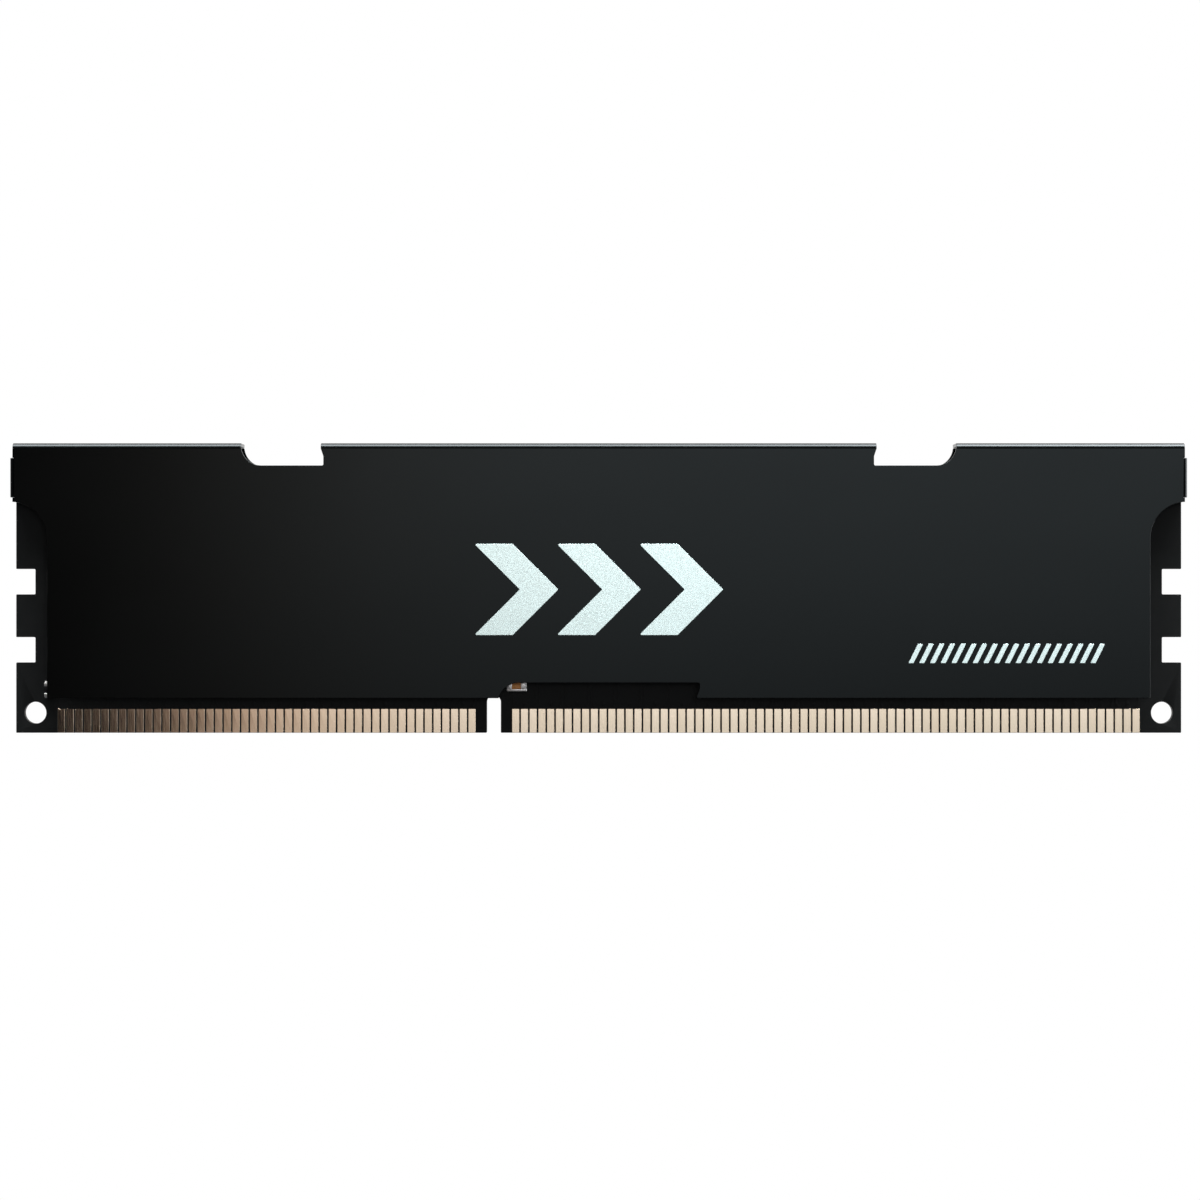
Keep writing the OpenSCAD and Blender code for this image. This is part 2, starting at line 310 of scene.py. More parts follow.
class Shader:
    """A Principled material and short ways to feed its sockets from textures."""

    def __init__(self, name, color, roughness, metallic=0.0, specular=0.5):
        self.material = bpy.data.materials.new(name)
        self.material.use_nodes = True
        self.nodes = self.material.node_tree.nodes
        self.links = self.material.node_tree.links
        self.surface = self.nodes["Principled BSDF"]
        self.surface.inputs["Base Color"].default_value = (*color, 1)
        self.surface.inputs["Roughness"].default_value = roughness
        self.surface.inputs["Metallic"].default_value = metallic
        self.surface.inputs["Specular IOR Level"].default_value = specular
        self.place = self.nodes.new("ShaderNodeTexCoord").outputs["Object"]

    def node(self, kind, inputs=(), **settings):
        """A new node. Each of its inputs given here is linked to a socket or set to a value."""
        node = self.nodes.new(kind)
        for name, value in settings.items():
            setattr(node, name, value)
        for key, value in dict(inputs).items():
            if isinstance(value, bpy.types.NodeSocket):
                self.links.new(value, node.inputs[key])
            else:
                node.inputs[key].default_value = value
        return node

    def stretched(self, scale):
        """Places in the material measured in units of 1 mm / scale along each axis."""
        return self.node(
            "ShaderNodeMapping", {"Vector": self.place, "Scale": [s / MM for s in scale]}
        ).outputs["Vector"]

    def noise(self, scale, detail=3.0):
        """Noise from 0 to 1. scale is in features per millimetre, along X, Y and Z."""
        inputs = {"Vector": self.stretched(scale), "Scale": 1, "Detail": detail, "Roughness": 0.5}
        return self.node("ShaderNodeTexNoise", inputs).outputs["Fac"]

    def mapped(self, value, low, high, from_low=0.3, from_high=0.7):
        """The value, spread from one range over another."""
        inputs = {
            "Value": value,
            "From Min": from_low,
            "From Max": from_high,
            "To Min": low,
            "To Max": high,
        }
        return self.node("ShaderNodeMapRange", inputs).outputs["Result"]

    def blended(self, value, first, second):
        """A colour between two, chosen by a value from 0 to 1."""
        mix = self.nodes.new("ShaderNodeMix")
        mix.data_type = "RGBA"
        self.links.new(value, mix.inputs[0])
        mix.inputs[6].default_value = (*first, 1)
        mix.inputs[7].default_value = (*second, 1)
        return mix.outputs[2]

    def feed(self, socket, value):
        self.links.new(value, self.surface.inputs[socket])

    def mottle(self, noise, first, second):
        """Makes the surface wander between two colours."""
        self.feed("Base Color", self.blended(self.mapped(noise, 0, 1), first, second))

    def bump(self, height, depth):
        """Raises the surface by up to depth, in millimetres."""
        inputs = {"Height": height, "Distance": depth * MM, "Strength": 1}
        self.feed("Normal", self.node("ShaderNodeBump", inputs).outputs["Normal"])


def anodised_black():
    """Bead-blasted black anodising: a fine even grain, with broad faint clouds in its sheen."""
    s = Shader("anodised_black", (0.0009, 0.001, 0.001), 0.18, specular=0.18)
    s.surface.inputs["Specular Tint"].default_value = (0.86, 1, 1.05, 1)  # its sheen is cool
    clouds = s.noise((0.05, 0.05, 0.09), detail=2)
    grain = s.noise((9, 9, 9), detail=2)
    s.feed("Roughness", s.mapped(clouds, 0.17, 0.195))
    s.mottle(grain, (0.0006, 0.0007, 0.0007), (0.0008, 0.0009, 0.0009))
    return s.material


def solder_mask():
    """Satin black mask over woven glass: faint clouds, and a surface that isn't quite flat."""
    s = Shader("solder_mask", (0.0175, 0.019, 0.0196), 0.5, specular=0.05)
    cloud = s.noise((0.6, 0.6, 0.6), detail=3)
    s.feed("Roughness", s.mapped(cloud, 0.45, 0.55))
    s.mottle(cloud, (0.0162, 0.0178, 0.0184), (0.0188, 0.0201, 0.0208))
    s.bump(s.noise((2.5, 2.5, 2.5), detail=2), 0.002)
    return s.material


def laminate():
    """Cut edge of the board: dark glass-epoxy in thin layers."""
    s = Shader("laminate", (0.03, 0.03, 0.025), 0.6)
    layers = s.noise((0.4, 9, 0.4), detail=2)
    s.mottle(layers, (0.012, 0.012, 0.011), (0.05, 0.048, 0.04))
    s.bump(s.noise((6, 6, 6)), 0.006)
    return s.material


def gold():
    """Polished gold plating with fine upright scratches. Each contact's colour differs a little."""
    s = Shader("gold", (0.93, 0.79, 0.62), 0.13, metallic=1.0)
    each = s.node("ShaderNodeNewGeometry").outputs["Random Per Island"]
    s.feed("Base Color", s.blended(each, (0.87, 0.74, 0.58), (0.95, 0.82, 0.66)))
    scratches = s.noise((14, 14, 0.5), detail=3)
    s.feed("Roughness", s.mapped(scratches, 0.08, 0.14))
    return s.material


def moulding():
    """Matt black moulded epoxy with a sandy surface."""
    s = Shader("moulding", (0.03, 0.03, 0.032), 0.6, specular=0.4)
    sand = s.noise((12, 12, 12), detail=3)
    s.mottle(sand, (0.024, 0.024, 0.026), (0.036, 0.036, 0.038))
    s.feed("Roughness", s.mapped(sand, 0.5, 0.68))
    s.bump(sand, 0.006)
    return s.material


def substrate():
    """Thin dark green laminate under a memory package."""
    s = Shader("substrate", (0.02, 0.06, 0.03), 0.5)
    fibres = s.noise((0.8, 8, 0.8))
    s.mottle(fibres, (0.015, 0.045, 0.022), (0.03, 0.08, 0.04))
    return s.material


def tin():
    """Bright reflowed tin with soft dimples."""
    s = Shader("tin", (0.8, 0.8, 0.82), 0.4, metallic=1.0)
    dimples = s.noise((7, 7, 7), detail=2)
    s.feed("Roughness", s.mapped(dimples, 0.32, 0.46))
    s.mottle(dimples, (0.78, 0.78, 0.79), (0.9, 0.9, 0.91))
    s.bump(dimples, 0.004)
    return s.material


def brown_ceramic():
    """Fired capacitor body, speckled brown."""
    s = Shader("brown_ceramic", (0.7, 0.3, 0.08), 0.45)
    speckle = s.noise((14, 14, 14), detail=4)
    s.mottle(speckle, (0.72, 0.26, 0.05), (0.88, 0.38, 0.09))
    s.bump(speckle, 0.004)
    return s.material


def black_glaze():
    """Glassy black coat of a chip resistor."""
    s = Shader("black_glaze", (0.012, 0.012, 0.014), 0.2)
    ripple = s.noise((5, 5, 5), detail=2)
    s.feed("Roughness", s.mapped(ripple, 0.15, 0.3))
    s.mottle(ripple, (0.01, 0.01, 0.012), (0.016, 0.016, 0.018))
    s.bump(ripple, 0.003)
    return s.material


def silicone():
    """Soft grey-blue thermal pad, with filler grains and a faint dull film."""
    s = Shader("silicone", (0.3, 0.35, 0.42), 0.7)
    grains = s.noise((6, 6, 6), detail=4)
    s.mottle(grains, (0.25, 0.3, 0.37), (0.36, 0.41, 0.48))
    s.feed("Roughness", s.mapped(grains, 0.6, 0.8))
    s.bump(grains, 0.02)
    return s.material


def silver_print():
    """Pale print with metal flakes, each tilted a little differently."""
    s = Shader("silver_print", (0.78, 0.97, 0.97), 0.3, metallic=0.8)
    flakes_per_mm = 9
    cells = {"Vector": s.stretched((1, 1, 1)), "Scale": flakes_per_mm}
    flakes = s.node("ShaderNodeTexVoronoi", cells).outputs["Color"]
    shade = s.node("ShaderNodeSeparateColor", {"Color": flakes}).outputs["Red"]
    s.feed("Base Color", s.blended(shade, (0.78, 0.97, 0.98), (0.83, 1.0, 1.0)))
    s.feed("Roughness", s.mapped(shade, 0.22, 0.32, 0, 1))
    s.bump(shade, 0.0012)
    return s.material


def label_paper():
    """Coated white label stock."""
    s = Shader("label_paper", (0.8, 0.8, 0.78), 0.45)
    fibres = s.noise((2.5, 2.5, 1.2), detail=4)
    s.mottle(fibres, (0.76, 0.76, 0.74), (0.84, 0.84, 0.82))
    s.bump(fibres, 0.003)
    return s.material


def label_ink():
    """Grey ink with the slight mottle of thermal print."""
    s = Shader("label_ink", (0.09, 0.1, 0.11), 0.5)
    mottle = s.noise((5, 5, 5), detail=3)
    s.mottle(mottle, (0.07, 0.08, 0.09), (0.12, 0.13, 0.14))
    return s.material


ANODISED = anodised_black()
MASK = solder_mask()
LAMINATE = laminate()
GOLD = gold()
MOULDING = moulding()
SUBSTRATE = substrate()
TIN = tin()
BROWN = brown_ceramic()
GLAZE = black_glaze()
SILICONE = silicone()
PRINT = silver_print()
PAPER = label_paper()
INK = label_ink()


# ---------- circuit board ----------


def board_outline():
    corner, notch = 0.1, 0.12  # radii of the routed corners
    half_key = KEY_W / 2
    key_end = half_key * 0.99  # almost a half circle
    lower = [
        (-BOARD_HALF, 0, corner),
        (KEY_X - half_key, 0, notch),
        (KEY_X - half_key, KEY_DEPTH, key_end),
        (KEY_X + half_key, KEY_DEPTH, key_end),
        (KEY_X + half_key, 0, notch),
        (BOARD_HALF, 0, corner),
    ]
    inner = BOARD_HALF - LATCH_DEPTH
    side = []
    for z in LATCH_Z:
        low, high = z - LATCH_H / 2, z + LATCH_H / 2
        side += [
            (BOARD_HALF, low, corner),
            (inner, low, notch),
            (inner, high, notch),
            (BOARD_HALF, high, corner),
        ]
    side.append((BOARD_HALF, BOARD_TOP, corner))
    return outline(lower + side + mirrored(side))


def circuit_board():
    bm = bmesh.new()
    holes = [hole(end * (BOARD_HALF - HOLE_INSET), HOLE_Z, HOLE_R) for end in (-1, 1)]
    edge = 0.06
    mask, laminate_edge = 0, 1
    loops = [board_outline(), *holes]
    add_plate(bm, loops, -BOARD_FACE, BOARD_FACE, edge, edge, mask, laminate_edge)
    finished("board_laminate", bm, [MASK, LAMINATE], ["circuit_board"])


def contact_centres(node, count):
    """Where the middles of a row's contacts lie along X, and how high the contacts reach."""
    low, high = box_mm(node)
    first, last = low.x + CONTACT_W / 2, high.x - CONTACT_W / 2
    return [first + (last - first) * i / (count - 1) for i in range(count)], high.z


def contacts(face, side, row, count):
    """Plated contacts of one row, each a thin pad with softly rounded edges and corners."""
    node = f"contacts_{face}_{row}"
    centres, height = contact_centres(node, count)
    low, high = box_mm(node)
    plating = high.y - low.y
    corner, edge = 0.06, 0.04
    bm = bmesh.new()
    for x in centres:
        pad = rectangle(x - CONTACT_W / 2, 0, x + CONTACT_W / 2, height, corner)
        add_plate(bm, [pad], side * (BOARD_FACE + plating), side * BOARD_FACE, edge)
    finished(f"edge_{node}", bm, [GOLD], [node])


def board_tracks(face, side):
    """Copper tracks and plugged vias under the mask, fanning out above the contacts.

    Of every three contacts, the middle one runs to a via and the others run up in pairs.
    """
    relief, sunk, edge = 0.03, 0.02, 0.015
    width = 0.2
    jog_size = 0.3
    tracks_end = 7.6
    via_height, via_radius = 0.62, 0.26
    near, far = side * (BOARD_FACE + relief), side * (BOARD_FACE - sunk)
    bm = bmesh.new()
    for row, count in ROWS.items():
        centres, top = contact_centres(f"contacts_{face}_{row}", count)
        start = top - 0.1
        for i, x in enumerate(centres):
            if i % 3 == 1:
                drop = [(x, start), (x, top + 0.45)]
                loops = [track(drop, width * 1.6), disc(x, top + via_height, via_radius)]
            else:
                jog = jog_size if i % 3 else -jog_size
                bend = top + 0.3
                line = [(x, start), (x, bend), (x + jog, bend + jog_size), (x + jog, tracks_end)]
                loops = [track(line, width)]
            for loop in loops:
                add_plate(bm, [loop], near, far, edge)
    finished(f"board_tracks_{face}", bm, [MASK])


# ---------- memory packages ----------


def memory_package(node):
    """A moulded cap on a thin substrate, with a raised mark at its first ball."""
    low, high = box_mm(node)
    front = low.y < 0
    outer, inner = (low.y, high.y) if front else (high.y, low.y)
    moulding_index, substrate_index = 0, 1
    step, relief = 0.02, 0.01
    seam = inner + (outer - inner) * 0.3
    top = outer - copysign(relief, outer)
    cap = rectangle(low.x + step, low.z + step, high.x - step, high.z - step, 0.15)
    base = rectangle(low.x, low.z, high.x, high.z, 0.1)
    bm = bmesh.new()
    add_plate(bm, [base], seam, inner, 0, 0.02, substrate_index, substrate_index)
    add_plate(bm, [cap], top, seam, 0.08, 0, moulding_index, moulding_index)
    mark_inset, mark_radius = 0.9, 0.3
    mark_x = low.x + mark_inset if front else high.x - mark_inset
    mark = disc(mark_x, high.z - mark_inset, mark_radius)
    add_plate(bm, [mark], outer, top - copysign(relief, outer))
    finished(f"package_{node}", bm, [MOULDING, SUBSTRATE], [node])


def solder_balls(face, side):
    """Reflowed balls: barrels that bulge between package and board."""
    node = f"solder_balls_{face}"
    gap = box_mm(node)
    near, far = gap[0].y, gap[1].y
    waist, neck = 0.225, 0.17
    sides, rings = 12, 4
    template = []
    for k in range(rings + 1):
        t = k / rings
        radius = neck + (waist - neck) * sin(pi * t)
        for i in range(sides):
            a = 2 * pi * i / sides
            template.append((radius * cos(a), near + (far - near) * t, radius * sin(a)))
    quads = []
    for start in range(0, rings * sides, sides):
        for i in range(sides):
            following = (i + 1) % sides
            quads.append(
                (start + i, start + following, start + sides + following, start + sides + i)
            )
    caps = [tuple(range(sides))[::-1], tuple(range(rings * sides, (rings + 1) * sides))]
    places = []
    for chip in range(1, CHIPS_PER_FACE + 1):
        low, high = box_mm(f"dram_{face}_{chip}")
        x, z = (low.x + high.x) / 2, (low.z + high.z) / 2
        places += [
            (x + BALL_PITCH * column, z + BALL_PITCH * row)
            for column in BALL_COLUMNS
            for row in BALL_ROWS
        ]
    verts = [(x + dx, y, z + dz) for x, z in places for dx, y, dz in template]
    step = len(template)
    faces = [tuple(v + n * step for v in f) for n in range(len(places)) for f in quads + caps]
    mesh = bpy.data.meshes.new("balls")
    mesh.from_pydata(verts, [], faces)
    bm = bmesh.new()
    bm.from_mesh(mesh)
    bpy.data.meshes.remove(mesh)
    finished(f"reflowed_{node}", bm, [TIN], [node])


# ---------- chip components ----------

FACE_SIDES = {"front": -1, "back": 1}
BODY, METAL = 0, 1  # material slots of a chip component


def add_block(bm, low, high, edge, material, turned, centre, side):
    """A rounded block on a board face.

    low and high are (along, across, up) from the part's centre.
    """
    corners = [(low[0], low[1]), (high[0], low[1]), (high[0], high[1]), (low[0], high[1])]
    if turned:
        corners = [(-b, a) for a, b in corners]
    loop = outline([(centre[0] + a, centre[1] + b, edge) for a, b in corners])
    near, far = side * (BOARD_FACE + high[2]), side * (BOARD_FACE + low[2])
    add_plate(bm, [loop], near, far, edge, 0, material, material)


def add_chip(bm, size, centre, side, turned=False):
    """A chip component: ceramic body, tinned ends, and a solder fillet climbing each end."""
    length, width, height = size
    where = (turned, centre, side)
    half_l, half_w = length / 2, width / 2
    cap = length / 4  # how far each tinned end reaches along the body
    skin = 0.03  # how far the ends stand proud of the body
    low = (-half_l + cap / 2, -half_w + skin, skin)
    high = (half_l - cap / 2, half_w - skin, height - skin)
    add_block(bm, low, high, 0.02, BODY, *where)
    fillet_steps, fillet_foot, step_height = 3, 0.16, height * 0.18
    fillet_half = half_w * 0.9
    for end in (-1, 1):
        near, far = sorted((end * half_l, end * (half_l - cap)))
        add_block(bm, (near, -half_w, 0), (far, half_w, height), 0.045, METAL, *where)
        for k in range(fillet_steps):
            reach = fillet_foot * (1 - k / fillet_steps)
            near, far = sorted((end * (half_l - 0.02), end * (half_l + reach)))
            low = (near, -fillet_half, step_height * k)
            high = (far, fillet_half, step_height * (k + 1))
            add_block(bm, low, high, 0.015, METAL, *where)


def chip_centres(node_name, face):
    """Centres of the capacitors round one memory package."""
    gap_beside, gap_above, off_middle = 1.2, 1.4, 2.2
    low, high = box_mm(node_name)
    x = (low.x + high.x) / 2
    beside = x - FACE_SIDES[face] * ((high.x - low.x) / 2 + gap_beside)
    above = high.z + gap_above
    upright = [(beside, 16.5), (beside, 22.5)]
    level = [(x - off_middle, above), (x + off_middle, above)]
    return upright, level


def chip_capacitors(face, side):
    bm = bmesh.new()
    for chip in range(1, CHIPS_PER_FACE + 1):
        upright, level = chip_centres(f"dram_{face}_{chip}", face)
        for centre in upright:
            add_chip(bm, SMALL_CAPACITOR, centre, side, turned=True)
        for centre in level:
            add_chip(bm, SMALL_CAPACITOR, centre, side)
    node = f"chip_capacitors_{face}"
    finished(f"soldered_{node}", bm, [BROWN, TIN], [node])


def add_array(bm, centre, side, turned=False):
    """Four resistors in one block, with four tinned terminals along each long edge."""
    length, width, height = ARRAY
    where = (turned, centre, side)
    half_l, half_w = length / 2, width / 2
    edge = 0.03
    body_half = half_w - ARRAY_TERMINAL_REACH / 2
    add_block(bm, (-half_l, -body_half, 0), (half_l, body_half, height), edge, BODY, *where)
    pitch = length / ARRAY_TERMINALS
    terminal = pitch * 0.6
    proud = 0.01  # how far the terminals stand above the body
    for i in range(ARRAY_TERMINALS):
        x = (i - (ARRAY_TERMINALS - 1) / 2) * pitch
        for end in (-1, 1):
            near, far = sorted((end * half_w, end * (half_w - ARRAY_TERMINAL_REACH)))
            low = (x - terminal / 2, near, 0)
            high = (x + terminal / 2, far, height + proud)
            add_block(bm, low, high, edge, METAL, *where)


def resistor_arrays(face, side):
    bm = bmesh.new()
    for chip in range(1, CHIPS_PER_FACE + 1):
        low, high = box_mm(f"dram_{face}_{chip}")
        for k in (-1, 0, 1):
            add_array(bm, ((low.x + high.x) / 2 + k * ARRAY_PITCH, ARRAY_ROW_Z), side)
    node = f"resistor_arrays_{face}"
    finished(f"soldered_{node}", bm, [GLAZE, TIN], [node])


def termination_arrays():
    bm = bmesh.new()
    for i in range(TERMINATION_ARRAYS):
        add_array(bm, (TERMINATION_X, TERMINATION_Z + i * ARRAY_PITCH), -1, turned=True)
    node = "termination_arrays"
    finished(f"soldered_{node}", bm, [GLAZE, TIN], [node])


def bulk_capacitors():
    """Supply capacitors. A bead of solder runs along the lower side of the one in the relief."""
    bm = bmesh.new()
    in_relief = (RELIEF_CAPACITOR_X, RELIEF_TOP - 0.35)
    add_chip(bm, LARGE_CAPACITOR, in_relief, -1)
    bead_low, bead_high = (-1.05, -0.625, 0), (1.2, -0.36, 0.88)
    add_block(bm, bead_low, bead_high, 0.05, METAL, False, in_relief, -1)
    for centre in SUPPLY_CAPACITORS:
        add_chip(bm, LARGE_CAPACITOR, centre, -1)
    node = "bulk_capacitors"
    finished(f"soldered_{node}", bm, [BROWN, TIN], [node])


def end_resistor():
    """The resistor that lies half under the front shell's lower left corner."""
    bm = bmesh.new()
    add_chip(bm, END_RESISTOR, (-WAIST - 0.1, END_RESISTOR_Z), -1, turned=True)
    finished("soldered_end_resistor", bm, [GLAZE, TIN], ["end_resistor"])


def serial_eeprom():
    """A small moulded body with four flat leads down each end."""
    low, high = box_mm("serial_eeprom")
    leads, pitch = 4, 0.5
    proud, reach, half_lead, thick, edge = 0.05, 0.2, 0.12, 0.15, 0.02
    bm = bmesh.new()
    body = rectangle(low.x + proud, low.z, high.x - proud, high.z, 0.06)
    add_plate(bm, [body], low.y, -BOARD_FACE, 0.04)
    for end, tip in ((-1, low.x), (1, high.x)):
        near, far = sorted((tip, tip - end * reach))
        for i in range(leads):
            z = (low.z + high.z) / 2 + (i - (leads - 1) / 2) * pitch
            pad = rectangle(near, z - half_lead, far, z + half_lead, edge)
            add_plate(bm, [pad], -BOARD_FACE - thick, -BOARD_FACE, edge, 0, METAL, METAL)
    finished("moulded_serial_eeprom", bm, [MOULDING, TIN], ["serial_eeprom"])


# ---------- cooling ----------


def thermal_pad(face):
    node = f"thermal_pad_{face}"
    low, high = box_mm(node)
    bm = bmesh.new()
    corner, edge = 0.4, 0.16
    strip = rectangle(low.x, low.z, high.x, high.z, corner)
    add_plate(bm, [strip], low.y, high.y, edge, edge)
    finished(f"soft_{node}", bm, [SILICONE], [node])


def lower_edge():
    """The shells' lower edge from left to right, with the relief beside the key notch."""
    centre_z = RELIEF_TOP - RELIEF_R
    start = pi - asin((SHELL_BOTTOM - centre_z) / RELIEF_R)
    return [
        (-WAIST, SHELL_BOTTOM, 0.12),
        *arc(RELIEF_ROUND_X, centre_z, RELIEF_R, start, pi / 2),
        (RELIEF_WALL_X, RELIEF_TOP, 0.2),
        (RELIEF_WALL_X, RELIEF_TOP - 0.65, 0.4),
        (RELIEF_FOOT_X, SHELL_BOTTOM, 0.15),
        (WAIST, SHELL_BOTTOM, 0.12),
    ]


def shoulder_side(half):
    """Up the +X side, round the sweep to the shoulder's lower corner."""
    centre_x = WAIST + SWEEP_R
    end = pi - acos((centre_x - half) / SWEEP_R)
    return arc(centre_x, SWEEP_Z, SWEEP_R, pi, end)


def unfolded(z):
    """Height in the flat sheet of a point whose height on the folded shell is z."""
    return z if z < FOLD_Z else FOLD_Z + FOLD_R * asin((z - FOLD_Z) / FOLD_R)


def top_notch(end, height_in_sheet):
    """Round the +X top notch, from its outer side to its inner one.

    Its walls end at a height of end, rounded off there, so points close below that are left out.
    """
    corner, clear = 0.12, 0.15
    curved = arc(NOTCH_OUTER - NOTCH_R, NOTCH_FLOOR + NOTCH_R, NOTCH_R, 0, -pi / 2)
    straight = [(NOTCH_WALL, SHELL_TOP - 1.5), (NOTCH_LIP, SHELL_TOP - 0.6)]
    outer, inner = (
        [(x, height_in_sheet(z)) for x, z in line if height_in_sheet(z) < end - clear]
        for line in (curved, straight)
    )
    return [
        (NOTCH_OUTER, end, corner),
        *outer,
        (NOTCH_WALL, NOTCH_FLOOR, 0.15),
        *inner,
        (NOTCH_LIP, end, corner),
    ]


def sheet_length(fold_start, radius, reach_back):
    """How far along the sheet a point lies that is past a fold, this far behind the front face."""
    return fold_start + radius * pi / 2 + reach_back - radius


def finger_slot(centre, top, bottom):
    """A slot cut down from the flange's rear edge, from right to left."""
    half = FINGER_W / 2 + SHELL_GAP
    corner = 0.08
    return [
        (centre + half, top, corner),
        (centre + half, bottom, corner),
        (centre - half, bottom, corner),
        (centre - half, top, corner),
    ]


def front_outline():
    """The front shell as it is cut from the flat sheet."""
    rear = sheet_length(FOLD_Z, FOLD_R, FLANGE_DEPTH)
    slot_bottom = sheet_length(FOLD_Z, FOLD_R, SHELL_OUT + SHELL_IN - SHELL_GAP)
    tab_end = sheet_length(TAB_FOLD_X, TAB_FOLD_R, FLANGE_DEPTH)
    corner, slit_corner = 0.3, 0.05
    right = [
        *shoulder_side(SHOULDER),
        (SHOULDER, TAB_Z - TAB_SLIT, slit_corner),
        (TAB_FOLD_X, TAB_Z - TAB_SLIT),
        (TAB_FOLD_X, TAB_Z),
        (tab_end, TAB_Z, corner),
        (tab_end, TAB_TOP, corner),
        (TAB_FOLD_X, TAB_TOP),
        (TAB_FOLD_X, TAB_TOP + TAB_SLIT),
        (SHOULDER, TAB_TOP + TAB_SLIT, slit_corner),
        (SHOULDER, rear, corner),
        *finger_slot(FINGERS_X[3], rear, slot_bottom),
        *top_notch(rear, unfolded),
        *finger_slot(FINGERS_X[2], rear, slot_bottom),
    ]
    return outline(lower_edge() + right + mirrored(right))


def folded(over, depth, radius):
    """Where a point of the sheet lands when it is a length over past the start of a fold.

    It returns how far the point lies beyond that start, and how far behind the front face.
    """
    turn = min(over / radius, pi / 2)
    reach = radius - depth
    return reach * sin(turn), radius - reach * cos(turn) + over - radius * turn


def cut(bm, place, normal, where=lambda face: True):
    """Splits the faces that a plane crosses, so the sheet can bend there."""
    faces = [face for face in bm.faces if where(face)]
    edges = {edge for face in faces for edge in face.edges}
    verts = {vert for face in faces for vert in face.verts}
    geometry = [*verts, *edges, *faces]
    bmesh.ops.bisect_plane(bm, geom=geometry, dist=1e-5, plane_co=place, plane_no=normal)


def in_tab(point):
    within = TAB_Z - TAB_SLIT / 2 < point.z < TAB_TOP + TAB_SLIT / 2
    return abs(point.x) > TAB_FOLD_X and within


def cut_fold_lines(bm):
    """Makes the lines across the flat sheet that its folds bend along."""
    bends = [pi / 2 * i / FOLD_STEPS for i in range(FOLD_STEPS + 1)]
    for bend in bends:
        cut(bm, (0, 0, FOLD_Z + FOLD_R * bend), (0, 0, 1))
    for end in (-1, 1):
        cut(bm, (end * TAB_FOLD_X, 0, 0), (end, 0, 0))
        for bend in bends[1:]:
            place = (end * (TAB_FOLD_X + TAB_FOLD_R * bend), 0, 0)
            cut(bm, place, (end, 0, 0), lambda face: in_tab(face.calc_center_median()))


def heat_spreader_front():
    """The front shell, drawn flat and then folded over the top and round both ends."""
    bm = bmesh.new()
    add_plate(bm, [front_outline()], 0, SHEET, SHEET_EDGE)
    cut_fold_lines(bm)
    for vert in bm.verts:
        x, depth, z = vert.co
        if z > FOLD_Z:
            up, back = folded(z - FOLD_Z, depth, FOLD_R)
            vert.co = (x, back - SHELL_OUT, FOLD_Z + up)
        elif in_tab(vert.co):
            out, back = folded(abs(x) - TAB_FOLD_X, depth, TAB_FOLD_R)
            vert.co = (copysign(TAB_FOLD_X + out, x), back - SHELL_OUT, z)
        else:
            vert.co = (x, depth - SHELL_OUT, z)
    finished("folded_shell_front", bm, [ANODISED], ["heat_spreader_front"])


def finger(centre):
    """A finger on the back shell's top edge, from right to left."""
    half = FINGER_W / 2
    return [
        (centre + half, UNDER_FLANGE, 0.1),
        (centre + half, FINGER_TOP, 0.2),
        (centre - half, FINGER_TOP, 0.2),
        (centre - half, UNDER_FLANGE, 0.1),
    ]


def heat_spreader_back():
    """The flat back shell, with fingers that fill the slots in the front shell's flange."""
    right = [
        *shoulder_side(BACK_HALF),
        (BACK_HALF, UNDER_FLANGE, 0.2),
        *finger(FINGERS_X[3]),
        *top_notch(UNDER_FLANGE, lambda z: z),
        *finger(FINGERS_X[2]),
    ]
    loop = outline(lower_edge() + right + mirrored(right))
    bm = bmesh.new()
    add_plate(bm, [loop], SHELL_OUT, SHELL_IN, SHEET_EDGE)
    finished("plain_shell_back", bm, [ANODISED], ["heat_spreader_back"])


# ---------- print and label ----------


PRINT_EDGE = 0.02


def front_emblem():
    """Three plain chevrons."""
    low, high = box_mm("front_emblem")
    count, spacing, stroke, corner = 3, 9.4, 4.4, 0.12
    arm = (high.z - low.z) / 2
    middle = (low.z + high.z) / 2
    bm = bmesh.new()
    for i in range(count):
        x = low.x + i * spacing
        chevron = outline(
            [
                (x, low.z, corner),
                (x + stroke, low.z, corner),
                (x + stroke + arm, middle, corner),
                (x + stroke, high.z, corner),
                (x, high.z, corner),
                (x + arm, middle, corner),
            ]
        )
        add_plate(bm, [chevron], low.y, high.y, PRINT_EDGE)
    finished("printed_front_emblem", bm, [PRINT], ["front_emblem"])


def front_hatching():
    """A row of slanted strokes."""
    low, high = box_mm("front_hatching")
    count, spacing, stroke, slant, corner = 18, 1.22, 0.6, 1.1, 0.08
    bm = bmesh.new()
    for i in range(count):
        x = low.x + i * spacing
        bar = outline(
            [
                (x, low.z, corner),
                (x + stroke, low.z, corner),
                (x + stroke + slant, high.z, corner),
                (x + slant, high.z, corner),
            ]
        )
        add_plate(bm, [bar], low.y, high.y, PRINT_EDGE)
    finished("printed_front_hatching", bm, [PRINT], ["front_hatching"])


